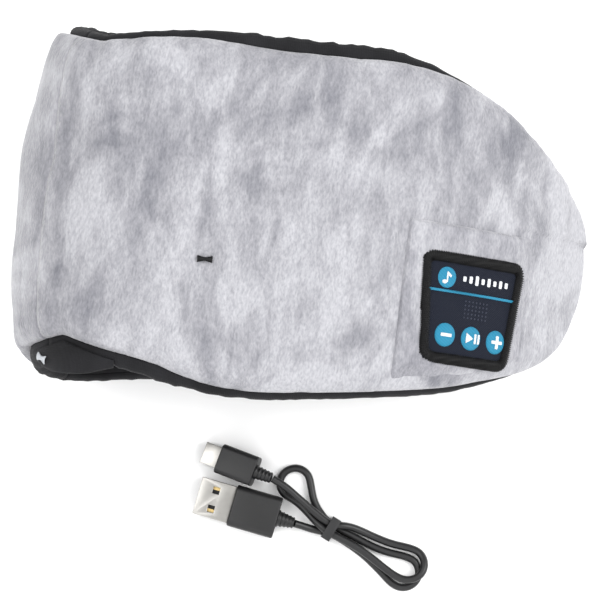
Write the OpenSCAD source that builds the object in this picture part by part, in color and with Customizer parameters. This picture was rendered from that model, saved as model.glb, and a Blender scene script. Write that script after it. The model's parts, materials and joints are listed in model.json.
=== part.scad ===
// Wrap-around plush sleep mask with wireless speakers, lying on its side, and its charging lead.
// +Z is up from the table, +X runs along the mask away from the nose bridge, and +Y is the
// direction that is up when the mask is worn. Millimetres and degrees.

/* [Mask] */
// Distance along the pad from the nose centre to either ear end
ear_reach = 184; // [180:1:188]
// Distance along the pad from the nose centre to the fold between the halves
fold_reach = 32; // [30:1:34]
// Radius of the bend where the mask folds back on itself
fold_r = 35; // [33:1:37]
// Thickness of the whole pad away from its edges
pad_t = 12; // [11.8:0.1:12.4]
// Thickness of the plush cover
plush_t = 2.4; // [2:0.1:2.8]
// Thickness of the knit lining
lining_t = 1.8; // [1.4:0.1:1.8]
// How far the plush face falls away at the top and bottom edges
edge_drop = 5; // [4:0.5:5]

/* [Controls] */
// Width of the control patch along its top edge
patch_top_w = 39; // [37:0.5:40]
// Width of the control patch along its bottom edge
patch_bottom_w = 33; // [33:0.5:35]
// Height of the control patch
patch_h = 34; // [33:0.5:35]
// Diameter of each button disc
button_d = 7.4; // [6.6:0.1:7.8]
// Distance between neighbouring button discs
button_pitch = 9.6; // [9:0.1:10]
// Travel of each button
button_travel = 0.5; // [0.3:0.1:0.5]
// Side of the square control module case
module_w = 30; // [28:0.5:30]

/* [Speakers] */
// Diameter of each flat speaker
speaker_d = 29; // [26:1:30]
// Travel of each speaker each way along its pocket
speaker_travel = 4; // [3:0.5:5]

/* [Closure] */
// Width of the elastic strap
strap_w = 36; // [30:1:38]
// Thickness of the elastic strap
strap_t = 1.6; // [1.2:0.1:1.8]

/* [Charging lead] */
// Diameter of the cable
cable_d = 2.4; // [2:0.1:2.5]

/* [Hidden] */
$fn = 48;

near = 1;
far = -1;

// The layout below is drawn from the middle of the near face; the frame's origin is under the
// middle of the mask, on the table.
layout_mid = [2.95, -2.55];

// Fold line between the halves, at the leftmost point of the loop
fold_x = -82.2;
fold_z = fold_r;
fold_gap = 0.15;

// The near half's outer face, walked from the fold: [length, bend radius], 0 for straight.
// The far half bends down to the table and then lies flat.
near_bends = [[fold_r * PI / 2, fold_r], [57.5, 329], [62.2, 110], [21.4, 90], [60, 110]];
far_bends = [[fold_r * PI / 2, fold_r], [200, 0]];

// Worn-up and worn-down edges of the plush, against distance from the nose centre
top_edge = [
    [0, 45.3], [34, 49], [60, 47.6], [83, 47.6], [97, 48.3], [119, 45.5], [140, 37.3],
    [161, 24.7], [172, 17], [179, 9.5], [182.5, 3.5], [184, -2.5]
];
bottom_edge = [
    [0, -44.6], [14, -47.3], [30, -49.7], [47, -54], [62, -55], [84, -52.7], [124, -46.8],
    [141, -42.8], [162, -36.6], [174, -29.7], [180, -21], [183, -12.5], [184, -5.5]
];
// How far the black binding stands out past each edge of the plush
top_binding = [
    [0, 2.2], [34, 2.4], [50, 3.9], [83, 4.3], [97, 3.6], [110, 2], [119, 0.9], [130, 0.4], [184, 0.3]
];
bottom_binding = [
    [0, 3.5], [14, 4], [34, 4.2], [47, 2.6], [62, 2.1], [124, 1.8], [141, 1.5], [162, 0.5], [184, 0.3]
];
// Free edge of the nose flap, against distance along the near half from the nose centre
flap_edge = [[-20, -51.5], [-12, -54.6], [-4, -56.1], [4, -56.1], [10, -55.5], [20, -53]];
binding_gap = 0.15;
flap_depth = 4.5;
flap_t = 2;

// Depths below the plush face: foam back, lining front and lining back
foam_back = 8.5;
layer_gap = 0.25;
lining_front = pad_t - lining_t;
// The layers taper to this share of their depth at the ear ends
tip_share = 0.45;
taper_from = ear_reach - 19;
// The faces are flat over this share of the half height, and curve only beyond it
flat_share = 0.8;
levels = [-1, -0.95, -0.88, -flat_share, 0, flat_share, 0.88, 0.95, 1];
station_pitch = 6;
tip_steps = [16, 13, 10, 8, 6, 4.5, 3, 2, 1];
// Where each half's foam ends, short of the ear pocket that holds its speaker
near_foam_to = 144;
far_foam_to = 80;

// Pocket panel: first and last distance from the fold, and its worn-up edge
pocket_from = 138;
pocket_to = 184;
pocket_top_v = 3.7;
pocket_bottom_v = -39;
pocket_t = 1;
pocket_lift = 0.15;
panel_steps = 12;
panel_gap = 0.05;

// Control module: distance from the fold to its middle, and its height on the mask
control_e = 162;
control_v = -22;
patch_top_z = 0.6;
patch_t = 1.4;
border_w = 2.4;
border_rise = 0.6;
button_row_y = -8.2;
play_x = 1.2;
button_gap = 0.3;
button_top_z = 1.1;
button_t = 1.4;
stem_d = 3;
icon_t = 0.2;
icon_line = 1;
window_margin = 0.3;
rule_y = 5.2;
rule_len = 31.8;
rule_w = 0.9;
badge_x = -10;
badge_y = 9.3;
badge_d = 6.5;

case_top_z = -1.2;
case_split_z = -2.4;
case_bottom_z = -8.6;
case_wall = 1;
board_top_z = -4;
board_t = 0.8;
board_w = module_w - 2 * case_wall - 0.6;
battery_size = [24, 19, 2.3];
socket_size = [7.5, 5, 2.6];
socket_wall = 0.35;
switch_size = [4.4, 4.4, 0.8];
plunger_d = 2;
plunger_t = 0.25;
stem_bottom_z = board_top_z + switch_size[2] + plunger_t + button_travel + 0.1;

// Speakers: distance from each half's fold to the middle, and height on the mask
near_speaker_e = 167;
far_speaker_e = 103;
speaker_v = 18;
speaker_back_z = -5.3;
speaker_front_z = -9.6;
speaker_wall = 1.4;
magnet_d = 16;
magnet_t = 2;
cone_t = 0.3;

// Leads inside the mask, as [distance from the fold, height], run between foam and lining
lead_d = 1;
lead_depth = 9.35;
near_lead_end = near_speaker_e - speaker_d / 2 - speaker_travel - 1.4;
near_lead_route = [
    [160, -12], [156, -8], [151, -3], [147, 4], [near_lead_end + 0.2, 11], [near_lead_end, speaker_v]
];
bridge_lead_near_route = [
    [158, -14], [150, -15], [140, -16], [128, -17], [116, -18], [104, -18], [92, -17], [80, -15],
    [68, -13], [56, -11], [48, -10], [40, -9.5], [32, -9], [24, -8.5], [16, -8], [8, -8], [0.3, -8]
];
bridge_lead_far_route = [
    [0.3, -8], [8, -8], [16, -8], [24, -7.5], [32, -6.5], [40, -5], [48, -2.5], [56, 1],
    [64, 6], [70, 10], [75, 14], [80.5, 18]
];

// Closure: the strap leaves the near lining, crosses the far ear end and lies on the loop panel
strap_v = -6;
strap_path = [[71.2, 11.1], [67, 11.8], [62, 13.1], [56, 14.2], [50, 14.8], [44.4, 15]];
tail_from = 44;
tail_to = -6;
tail_bottom_z = 14.2;
hook_from = 26;
hook_to = -4;
hook_bottom_z = 13.2;
loop_from = 30;
loop_to = -26;
loop_t = 0.9;

// Charging lead, on the table: each plug's joint between metal and overmould, and its heading
usb_a_at = [-10, -89.8, 4.1];
usb_a_turn = -9.3;
usb_a_shell_size = [11.4, 12, 4.5];
usb_a_wall = 0.4;
usb_a_grip = [15, 13.4, 7.8];
usb_a_grip_r = 2;
usb_a_relief_len = 5.4;
micro_at = [-15.7, -75.6, 3.9];
micro_turn = -14;
micro_pitch = -11;
micro_shell_size = [5.6, 6.9, 1.8];
micro_wall = 0.3;
micro_grip = [12.4, 9.6, 6.6];
micro_grip_r = 1.6;
micro_relief_len = 5.4;

// Middle line of the cable, from the USB-A relief through the hank to the micro-USB relief
cable_route = [
    [10.3, -93.2, 4.1], [13, -93.7, 3.2], [16, -94.3, 2.3], [19, -94.6, 2], [22, -94.9, 1.95],
    [28, -97.5, 1.5], [34, -100.9, 1.3], [40, -105.6, 1.3], [43, -108.1, 1.3],
    [46.5, -109.3, 1.3], [50, -107.8, 1.3], [51.5, -104.3, 1.3], [50, -100.8, 1.3],
    [46.5, -99.3, 1.3], [41, -98.7, 1.3], [35, -97.2, 1.3], [28, -94.5, 1.6], [22, -92.1, 1.95],
    [18.5, -89.3, 1.5], [15.6, -85.5, 1.3], [14, -80.6, 1.3], [12.5, -77.1, 1.3], [9, -75.6, 1.3],
    [5.5, -77.1, 1.3], [4, -80.6, 1.3], [5.5, -84.1, 1.3], [9, -85.7, 1.3], [12.5, -88, 1.7],
    [15.5, -90.6, 2.9], [18.5, -92.9, 4.2], [22, -94.9, 4.5], [28, -97.1, 4.1], [34, -99.9, 3.85],
    [40, -103.6, 3.85], [44.3, -105.9, 3.85], [47.8, -106.6, 3.85], [51.4, -105.1, 3.9],
    [52.9, -101.6, 3.3], [51.4, -98, 1.7], [47.8, -96.5, 1.3], [42, -95.9, 1.3], [36, -94.4, 1.5],
    [30, -92.5, 2.7], [26, -92, 4.2], [22, -92.1, 4.6], [18, -90, 5], [14, -87.4, 5.4],
    [10, -84.7, 6], [6, -82, 6.8], [1.75, -79.97, 7.37]
];
// Share of the chord past a point that its tangent takes, which keeps the bends round
route_ease = 0.56;
tie_at = [22, -93.5, 3.25];
tie_turn = -25;
tie_inside = 6.8;
tie_t = 0.4;
tie_w = 3;

// ---- Curves ----

function clamped(value, low, high) = max(low, min(high, value));

function span_index(table, key, i = 0) =
    (i >= len(table) - 2 || key < table[i + 1][0]) ? i : span_index(table, key, i + 1);

function slope(table, i) =
    let (a = table[max(i - 1, 0)], b = table[min(i + 1, len(table) - 1)])
    (b[1] - a[1]) / (b[0] - a[0]);

// Smooth value of a table of [key, value] pairs at a key
function smooth(table, key) =
    let (
        i = span_index(table, key),
        width = table[i + 1][0] - table[i][0],
        f = clamped((key - table[i][0]) / width, 0, 1),
        f2 = f * f,
        f3 = f2 * f
    )
    (2 * f3 - 3 * f2 + 1) * table[i][1] + (f3 - 2 * f2 + f) * width * slope(table, i)
    + (3 * f2 - 2 * f3) * table[i + 1][1] + (f3 - f2) * width * slope(table, i + 1);

// Where a walk of a length along one bend ends, turning clockwise: [x, z, heading]
function bend(x, z, heading, length, radius) =
    radius == 0
    ? [x + length * cos(heading), z + length * sin(heading), heading]
    : let (turned = heading - length / radius * 180 / PI)
      [x + radius * (sin(heading) - sin(turned)), z - radius * (cos(heading) - cos(turned)), turned];

function walk(start, bends, length, i = 0) =
    let (here = min(length, bends[i][0]), stop = bend(start[0], start[1], start[2], here, bends[i][1]))
    length <= bends[i][0] ? stop : walk(stop, bends, length - bends[i][0], i + 1);

// Outer face at a distance e from the fold, as if the half went over the top: [x, z, heading]
function face_at(half, e) = walk([fold_x, fold_z, 90], half == near ? near_bends : far_bends, e);

// A point at distance e from the fold, height v and depth d below the outer face
function spot(half, e, v, d) =
    let (q = face_at(half, e))
    [q[0] + d * sin(q[2]), v, fold_z + half * (q[1] - fold_z - d * cos(q[2]))];

function reach(half, e) = abs(e - half * fold_reach);
function tip_e(half) = ear_reach + half * fold_reach;
function top_v(half, e) = smooth(top_edge, reach(half, e));
function bottom_v(half, e) = smooth(bottom_edge, reach(half, e));
function level_v(half, e, level) =
    (top_v(half, e) + bottom_v(half, e)) / 2 + level * (top_v(half, e) - bottom_v(half, e)) / 2;

// Share of the full depth that is left at a station near an ear end
function depth_share(half, e) =
    let (past = clamped((reach(half, e) - taper_from) / (ear_reach - taper_from), 0, 1))
    1 - (1 - tip_share) * pow(past, 2);

// 0 over the flat middle of the face, rising to 1 at its edges
function edge_rise(level) = pow(max(0, abs(level) - flat_share) / (1 - flat_share), 2);

function plush_front_d(level) = edge_drop * edge_rise(level);
function plush_back_d(level) = plush_t + (edge_drop - 0.2) * edge_rise(level);
function foam_back_d(level) = foam_back - 0.3 * edge_rise(level);
function lining_front_d(level) = lining_front + (foam_back - lining_front) * edge_rise(level);
function lining_back_d(level) = pad_t - 1.4 * edge_rise(level);

// Evenly spaced stations from the fold to a distance from it
function even_stations(last) =
    let (count = ceil(last / station_pitch))
    [for (i = [0:count]) fold_gap + (last - fold_gap) * i / count];

// Stations from the fold to the ear end, closer together at the tip
function stations(half) =
    concat(even_stations(tip_e(half) - tip_steps[0] - 3), [for (step = tip_steps) tip_e(half) - step]);

// Smooth line through the points of a route, with extra points between them
function route_tangent(route, i) =
    route_ease * (route[min(i + 1, len(route) - 1)] - route[max(i - 1, 0)]);
function route_between(route, i, f) =
    let (f2 = f * f, f3 = f2 * f)
    (2 * f3 - 3 * f2 + 1) * route[i] + (f3 - 2 * f2 + f) * route_tangent(route, i)
    + (3 * f2 - 2 * f3) * route[i + 1] + (f3 - f2) * route_tangent(route, i + 1);

function unit(v) = v / norm(v);

// ---- Building blocks ----

// Closed skin over a row of rings that have the same number of points
module skin(rings, flip = false) {
    n = len(rings[0]);
    last = len(rings) - 1;
    sides = [
        for (j = [0:last - 1], i = [0:n - 1])
            let (a = j * n + i, b = j * n + (i + 1) % n)
            each [[a, b, a + n], [b, b + n, a + n]]
    ];
    faces = concat([[for (i = [n - 1:-1:0]) i]], [[for (i = [0:n - 1]) last * n + i]], sides);
    polyhedron(
        points = [for (ring = rings) each ring],
        faces = flip ? [for (face = faces) [for (i = [len(face) - 1:-1:0]) face[i]]] : faces
    );
}

// Layer of the pad between two depths, given at each level, along a row of stations
module pad_layer(half, front, back, along) {
    n = len(levels);
    outward = along[0] < along[1] ? far : near;
    skin([
        for (e = along)
            let (share = depth_share(half, e))
            concat(
                [for (i = [0:n - 1]) spot(half, e, level_v(half, e, levels[i]), front[i] * share)],
                [for (i = [n - 1:-1:0]) spot(half, e, level_v(half, e, levels[i]), back[i] * share)]
            )
    ], half == outward);
}

// Rolled strip along one edge of a half: sign is 1 for the worn-up edge, -1 for the other
module binding(half, sign) {
    section = [[0, 5], [0.7, 5.3], [1, 6.4], [1, 8.6], [0.7, 10], [0, 10.4]];
    skin([
        for (e = stations(half))
            let (
                share = depth_share(half, e),
                edge = sign > 0 ? top_v(half, e) : bottom_v(half, e),
                out = smooth(sign > 0 ? top_binding : bottom_binding, reach(half, e))
            )
            [for (q = section) spot(half, e, edge + sign * (q[0] * out + binding_gap), q[1] * share)]
    ], half * sign < 0);
}

// Tube of a diameter along a list of points
module tube(points, diameter, sides, up = [0, 0, 1]) {
    last = len(points) - 1;
    skin([
        for (i = [0:last])
            let (
                ahead = unit(points[min(i + 1, last)] - points[max(i - 1, 0)]),
                across = unit(cross(up, ahead)),
                over = cross(ahead, across)
            )
            [for (k = [0:sides - 1])
                let (angle = 360 * k / sides)
                points[i] + diameter / 2 * (across * cos(angle) + over * sin(angle))]
    ]);
}

module in_frame() {
    translate([-layout_mid[0], -layout_mid[1], 0]) children();
}

// Local frame on the outer face: X along the half, Z straight out of the face
module on_face(half, e, v) {
    q = face_at(half, e);
    in_frame() translate([q[0], v, fold_z + half * (q[1] - fold_z)])
        rotate([half == far ? 180 : 0, -half * q[2], 0]) children();
}

module on_controls() {
    on_face(near, control_e, control_v) children();
}

// Box from a low corner to a high corner
module box(low, high) {
    translate(low) cube(high - low);
}

module patch_outline(inset) {
    top = patch_top_w / 2 - inset;
    bottom = patch_bottom_w / 2 - inset;
    half_h = patch_h / 2 - inset;
    cut = 2;
    polygon([
        [-bottom + cut, -half_h], [bottom - cut, -half_h], [bottom, -half_h + cut],
        [top, half_h - cut], [top - cut, half_h], [-top + cut, half_h],
        [-top, half_h - cut], [-bottom, -half_h + cut]
    ]);
}

module window_cut() {
    on_controls() translate([0, 0, case_bottom_z - 1.2])
        linear_extrude(16) patch_outline(-window_margin);
}

// ---- Soft shells ----

module front_cover(half) {
    color("lightsteelblue") in_frame() pad_layer(
        half, [for (w = levels) plush_front_d(w)], [for (w = levels) plush_back_d(w)], stations(half));
}

module foam(half) {
    color("khaki") in_frame() pad_layer(
        half, [for (w = levels) plush_back_d(w) + layer_gap], [for (w = levels) foam_back_d(w)],
        even_stations(half == near ? near_foam_to : far_foam_to));
}

module lining(half) {
    along = stations(half);
    last = len(along) - 1;
    color([0.08, 0.08, 0.09]) in_frame() pad_layer(
        half, [for (w = levels) lining_front_d(w)], [for (w = levels) lining_back_d(w)],
        [for (i = [0:last]) along[half == near ? last - i : i]]
    );
}

module near_front_cover() {
    color("lightsteelblue") difference() {
        front_cover(near);
        window_cut();
    }
}

module near_foam() {
    foam(near);
}

module near_lining() {
    lining(near);
}

module near_top_binding() {
    color([0.1, 0.1, 0.11]) in_frame() binding(near, 1);
}

module near_bottom_binding() {
    color([0.1, 0.1, 0.11]) in_frame() binding(near, -1);
}

module far_front_cover() {
    front_cover(far);
}

module far_foam() {
    foam(far);
}

module far_lining() {
    lining(far);
}

module far_top_binding() {
    color([0.1, 0.1, 0.11]) in_frame() binding(far, 1);
}

module far_bottom_binding() {
    color([0.1, 0.1, 0.11]) in_frame() binding(far, -1);
}

module nose_flap() {
    from = fold_reach + flap_edge[0][0];
    to = fold_reach + flap_edge[len(flap_edge) - 1][0];
    color([0.07, 0.07, 0.08]) in_frame() skin([
        for (e = [from:(to - from) / 10:to + 0.001])
            let (
                root = bottom_v(near, e) - smooth(bottom_binding, reach(near, e)) - 2 * binding_gap,
                free = smooth(flap_edge, e - fold_reach)
            )
            [spot(near, e, root, flap_depth), spot(near, e, free, flap_depth),
             spot(near, e, free, flap_depth + flap_t), spot(near, e, root, flap_depth + flap_t)]
    ], true);
}

// Bow-tie bar tack, flat on its local XY plane
module bow_tie(length, height, waist) {
    linear_extrude(0.6) polygon([
        [-length / 2, -height / 2], [0, -waist / 2], [length / 2, -height / 2],
        [length / 2, height / 2], [0, waist / 2], [-length / 2, height / 2]
    ]);
}

module nose_flap_tack() {
    color("gainsboro") on_face(near, 21.5, -52.3) translate([0, 0, -flap_depth])
        rotate([0, 0, -14]) bow_tie(4.6, 2.2, 0.9);
}

module front_tack() {
    color([0.07, 0.07, 0.08]) on_face(near, 76.2, -17.2) bow_tie(4, 1.6, 0.8);
}

// Strip of the pocket panel, on the plush face between two distances and two heights
module panel_strip(from, to, low_v, high_v) {
    skin([
        for (i = [0:panel_steps])
            let (e = from + (to - from) * i / panel_steps)
            [spot(near, e, high_v, -pocket_lift - pocket_t), spot(near, e, low_v, -pocket_lift - pocket_t),
             spot(near, e, low_v, -pocket_lift), spot(near, e, high_v, -pocket_lift)]
    ], true);
}

module pocket_panel() {
    beside_patch = control_e - patch_top_w / 2 - window_margin;
    color("lightsteelblue") in_frame() {
        panel_strip(pocket_from, beside_patch, pocket_bottom_v, pocket_top_v);
        panel_strip(
            beside_patch + panel_gap, pocket_to,
            control_v + patch_h / 2 + window_margin, pocket_top_v
        );
    }
}

// ---- Controls ----

module button_places() {
    for (i = [-1:1]) translate([play_x + i * button_pitch, button_row_y, 0]) children();
}

module control_patch() {
    color("midnightblue") on_controls() difference() {
        translate([0, 0, patch_top_z - patch_t]) linear_extrude(patch_t) patch_outline(border_w);
        button_places() translate([0, 0, -5]) cylinder(h = 10, d = button_d + 2 * button_gap);
    }
}

module patch_border() {
    color([0.06, 0.06, 0.07]) on_controls() translate([0, 0, patch_top_z - patch_t])
        linear_extrude(patch_t + border_rise) difference() {
            patch_outline(0);
            patch_outline(border_w);
        }
}

module patch_rule() {
    color("deepskyblue") on_controls()
        box(
            [-rule_len / 2, rule_y - rule_w / 2, patch_top_z],
            [rule_len / 2, rule_y + rule_w / 2, patch_top_z + 0.3]
        );
}

module note_badge() {
    color("deepskyblue") on_controls() translate([badge_x, badge_y, patch_top_z])
        cylinder(h = 0.4, d = badge_d);
}

module note_icon() {
    color("white") on_controls() translate([badge_x, badge_y, patch_top_z + 0.4]) {
        translate([-0.6, -1.3, 0]) cylinder(h = icon_t, d = 1.6);
        box([-0.2, -1.3, 0], [0.25, 1.9, icon_t]);
        box([0.25, 1.3, 0], [1.5, 1.9, icon_t]);
    }
}

module button(index) {
    color("deepskyblue") on_controls() translate([play_x + index * button_pitch, button_row_y, 0]) {
        translate([0, 0, button_top_z - button_t]) cylinder(h = button_t, d = button_d);
        translate([0, 0, stem_bottom_z])
            cylinder(h = button_top_z - button_t - stem_bottom_z, d = stem_d);
    }
}

module on_button(index) {
    on_controls() translate([play_x + index * button_pitch, button_row_y, button_top_z]) children();
}

module minus_button() {
    button(-1);
}

module play_button() {
    button(0);
}

module plus_button() {
    button(1);
}

module minus_icon() {
    color("white") on_button(-1) box([-1.9, -icon_line / 2, 0], [1.9, icon_line / 2, icon_t]);
}

module play_icon() {
    color("white") on_button(0) {
        linear_extrude(icon_t) polygon([[-2.2, -1.6], [0.2, 0], [-2.2, 1.6]]);
        box([0.6, -1.6, 0], [1.2, 1.6, icon_t]);
        box([1.7, -1.6, 0], [2.3, 1.6, icon_t]);
    }
}

module plus_icon() {
    color("white") on_button(1) linear_extrude(icon_t) {
        square([3.8, icon_line], center = true);
        square([icon_line, 3.8], center = true);
    }
}

module case_box(low_z, high_z, inset) {
    r = module_w / 2 - inset;
    box([-r, -r, low_z], [r, r, high_z]);
}

module module_case_top() {
    color("dimgray") on_controls() difference() {
        case_box(case_split_z, case_top_z, 0);
        button_places() translate([0, 0, -5]) cylinder(h = 10, d = stem_d + 2 * button_gap);
    }
}

module module_case_base() {
    color("dimgray") on_controls() difference() {
        case_box(case_bottom_z, case_split_z, 0);
        case_box(case_bottom_z + case_wall, 5, case_wall);
        box([-socket_size[0] / 2 - 0.2, -module_w, board_top_z - board_t - socket_size[2] - 0.2],
            [socket_size[0] / 2 + 0.2, 0, board_top_z - board_t]);
    }
}

module circuit_board() {
    color("darkgreen") on_controls()
        box([-board_w / 2, -board_w / 2, board_top_z - board_t], [board_w / 2, board_w / 2, board_top_z]);
}

module battery() {
    color("silver") on_controls()
        translate([-battery_size[0] / 2, -6.5, case_bottom_z + case_wall]) cube(battery_size);
}

module control_chips() {
    color("black") on_controls() translate([0, 0, board_top_z]) {
        translate([-9, 3, 0]) cube([6, 6, 0.9]);
        translate([0, 3, 0]) cube([4, 4, 0.9]);
        translate([6, -1, 0]) cube([3.2, 2.5, 0.9]);
    }
}

module usb_socket() {
    top = board_top_z - board_t;
    half_w = socket_size[0] / 2;
    color("silver") on_controls() {
        difference() {
            box([-half_w, -module_w / 2, top - socket_size[2]],
                [half_w, -module_w / 2 + socket_size[1], top]);
            box([-half_w + socket_wall, -module_w / 2 - 1, top - socket_size[2] + socket_wall],
                [half_w - socket_wall, -module_w / 2 + socket_size[1] - 0.5, top - socket_wall]);
        }
        box([-1.8, -module_w / 2 + 1, top - socket_wall - 0.7],
            [1.8, -module_w / 2 + socket_size[1] - 0.5, top - socket_wall]);
    }
}

module tact_switches() {
    color("silver") on_controls() button_places() translate([0, 0, board_top_z]) {
        translate([-switch_size[0] / 2, -switch_size[1] / 2, 0]) cube(switch_size);
        translate([0, 0, switch_size[2]]) cylinder(h = plunger_t, d = plunger_d);
    }
}

module microphone() {
    color("goldenrod") on_controls() translate([9, 9, board_top_z]) cylinder(h = 1.1, d = 4);
}

module status_led() {
    color("white") on_controls() translate([3, 11, board_top_z]) cube([1.6, 0.8, 0.6]);
}

// ---- Speakers and leads ----

module speaker_frame(half, e) {
    color([0.12, 0.12, 0.13]) on_face(half, e, speaker_v) difference() {
        translate([0, 0, speaker_front_z]) cylinder(h = speaker_back_z - speaker_front_z, d = speaker_d);
        translate([0, 0, speaker_front_z - 1])
            cylinder(h = speaker_back_z - speaker_front_z + 0.2, d = speaker_d - 2 * speaker_wall);
    }
}

module speaker_magnet(half, e) {
    color("silver") on_face(half, e, speaker_v)
        translate([0, 0, speaker_back_z - 0.8 - magnet_t]) cylinder(h = magnet_t, d = magnet_d);
}

module speaker_cone(half, e) {
    r = speaker_d / 2 - speaker_wall;
    color("gray") on_face(half, e, speaker_v) rotate_extrude() polygon([
        [0, speaker_front_z + 1.1], [4, speaker_front_z + 1.1], [r, speaker_front_z + 0.6],
        [r, speaker_front_z + 0.6 - cone_t], [4, speaker_front_z + 1.1 - cone_t],
        [0, speaker_front_z + 1.1 - cone_t]
    ]);
}

module near_speaker_frame() {
    speaker_frame(near, near_speaker_e);
}

module near_speaker_magnet() {
    speaker_magnet(near, near_speaker_e);
}

module near_speaker_cone() {
    speaker_cone(near, near_speaker_e);
}

module far_speaker_frame() {
    speaker_frame(far, far_speaker_e);
}

module far_speaker_magnet() {
    speaker_magnet(far, far_speaker_e);
}

module far_speaker_cone() {
    speaker_cone(far, far_speaker_e);
}

module lead(half, route) {
    color([0.7, 0.1, 0.1]) in_frame()
        tube([for (q = route) spot(half, q[0], q[1], lead_depth)], lead_d, 6, [0.05, 0, 1]);
}

module near_speaker_lead() {
    lead(near, near_lead_route);
}

module bridge_lead_near() {
    lead(near, bridge_lead_near_route);
}

module bridge_lead_far() {
    lead(far, bridge_lead_far_route);
}

// ---- Closure ----

module strap_elastic() {
    half_w = strap_w / 2;
    half_t = strap_t / 2;
    color([0.1, 0.1, 0.11]) in_frame() skin([
        for (q = strap_path)
            [[q[0], strap_v - half_w, q[1] - half_t], [q[0], strap_v + half_w, q[1] - half_t],
             [q[0], strap_v + half_w, q[1] + half_t], [q[0], strap_v - half_w, q[1] + half_t]]
    ], true);
}

module strip(from, to, width, low_z, thickness) {
    in_frame() box([to, strap_v - width / 2, low_z], [from, strap_v + width / 2, low_z + thickness]);
}

module strap_tail() {
    color([0.12, 0.12, 0.13]) strip(tail_from, tail_to, strap_w, tail_bottom_z, strap_t);
}

module hook_tape() {
    color([0.05, 0.05, 0.06])
        strip(hook_from, hook_to, strap_w - 6, hook_bottom_z, tail_bottom_z - hook_bottom_z);
}

module loop_panel() {
    color([0.15, 0.15, 0.16]) strip(loop_from, loop_to, strap_w + 4, pad_t, loop_t);
}

// ---- Charging lead ----

module at_plug(place, turn, pitch) {
    in_frame() translate(place) rotate([0, pitch, turn]) children();
}

module at_usb_a() {
    at_plug(usb_a_at, usb_a_turn, 0) children();
}

module at_micro() {
    at_plug(micro_at, micro_turn, micro_pitch) children();
}

// Open metal mouth that points along -X, from x = 0
module plug_shell(size, wall) {
    difference() {
        box([-size[0], -size[1] / 2, -size[2] / 2], [0, size[1] / 2, size[2] / 2]);
        box([-size[0] - 1, -size[1] / 2 + wall, -size[2] / 2 + wall],
            [-0.5, size[1] / 2 - wall, size[2] / 2 - wall]);
    }
}

// Moulded grip along +X with rounded long edges
module plug_grip(size, r) {
    rotate([90, 0, 90]) linear_extrude(size[0]) {
        for (x = [-1, 1], y = [-1, 1])
            translate([x * (size[1] / 2 - r), y * (size[2] / 2 - r)]) circle(r);
        square([size[1] - 2 * r, size[2]], center = true);
        square([size[1], size[2] - 2 * r], center = true);
    }
}

module relief(from, length, start_d) {
    translate([from, 0, 0]) rotate([0, 90, 0]) cylinder(h = length, d1 = start_d, d2 = cable_d + 0.6);
}

module usb_a_shell() {
    color("silver") at_usb_a() difference() {
        plug_shell(usb_a_shell_size, usb_a_wall);
        for (side = [-1, 1]) box([-7.2, side * 3 - 1.1, 0], [-5, side * 3 + 1.1, 5]);
    }
}

module usb_a_tongue() {
    color("white") at_usb_a() box([-10.4, -5.4, -1.85], [-0.5, 5.4, -0.1]);
}

module usb_a_contacts() {
    color("gold") at_usb_a()
        for (i = [-1.5:1:1.5])
            box([-9.9, i * 2.4 - 0.5, -0.1], [-2.5, i * 2.4 + 0.5, 0.1]);
}

module usb_a_overmould() {
    color([0.1, 0.1, 0.11]) at_usb_a() plug_grip(usb_a_grip, usb_a_grip_r);
}

module usb_a_relief() {
    color([0.09, 0.09, 0.1]) at_usb_a() relief(usb_a_grip[0], usb_a_relief_len, 5);
}

module charging_cable() {
    last = len(cable_route) - 1;
    color([0.08, 0.08, 0.09]) in_frame() tube(
        [for (i = [0:last]) each i < last && norm(cable_route[i + 1] - cable_route[i]) > 5.5
            ? [cable_route[i], route_between(cable_route, i, 0.5)] : [cable_route[i]]],
        cable_d, 8);
}

module micro_usb_shell() {
    color("silver") at_micro() plug_shell(micro_shell_size, micro_wall);
}

module micro_usb_tongue() {
    color([0.2, 0.2, 0.2]) at_micro() box([-5, -2.4, -0.35], [-0.5, 2.4, 0.1]);
}

module micro_usb_overmould() {
    color([0.1, 0.1, 0.11]) at_micro() plug_grip(micro_grip, micro_grip_r);
}

module micro_usb_relief() {
    color([0.09, 0.09, 0.1]) at_micro() relief(micro_grip[0], micro_relief_len, 4.2);
}

module cable_tie() {
    inner = tie_inside / 2;
    outer = inner + tie_t;
    color([0.04, 0.04, 0.05]) in_frame() translate(tie_at) rotate([0, 0, tie_turn]) difference() {
        box([-tie_w / 2, -outer, -outer + 0.1], [tie_w / 2, outer, outer]);
        box([-tie_w, -inner, -inner + 0.1], [tie_w, inner, inner]);
    }
}

near_front_cover();
near_foam();
near_lining();
near_top_binding();
near_bottom_binding();
far_front_cover();
far_foam();
far_lining();
far_top_binding();
far_bottom_binding();
nose_flap();
nose_flap_tack();
front_tack();
pocket_panel();
control_patch();
patch_border();
patch_rule();
note_badge();
note_icon();
minus_button();
play_button();
plus_button();
minus_icon();
play_icon();
plus_icon();
module_case_top();
module_case_base();
circuit_board();
battery();
control_chips();
usb_socket();
tact_switches();
microphone();
status_led();
near_speaker_frame();
near_speaker_magnet();
near_speaker_cone();
far_speaker_frame();
far_speaker_magnet();
far_speaker_cone();
near_speaker_lead();
bridge_lead_near();
bridge_lead_far();
strap_elastic();
strap_tail();
hook_tape();
loop_panel();
usb_a_shell();
usb_a_tongue();
usb_a_contacts();
usb_a_overmould();
usb_a_relief();
charging_cable();
micro_usb_shell();
micro_usb_tongue();
micro_usb_overmould();
micro_usb_relief();
cable_tie();
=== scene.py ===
"""Looks of a plush wrap-around sleep mask with speakers and its charging lead, in metres.

The mask lies folded on its side: the near half is on top and the far half on the table.
Layout functions work in millimetres from the middle of the near face, and place() turns a
point on the mask into the row frame.
"""
import json
import math

import bmesh
import bpy
from mathutils import Matrix, Vector, noise

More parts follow.
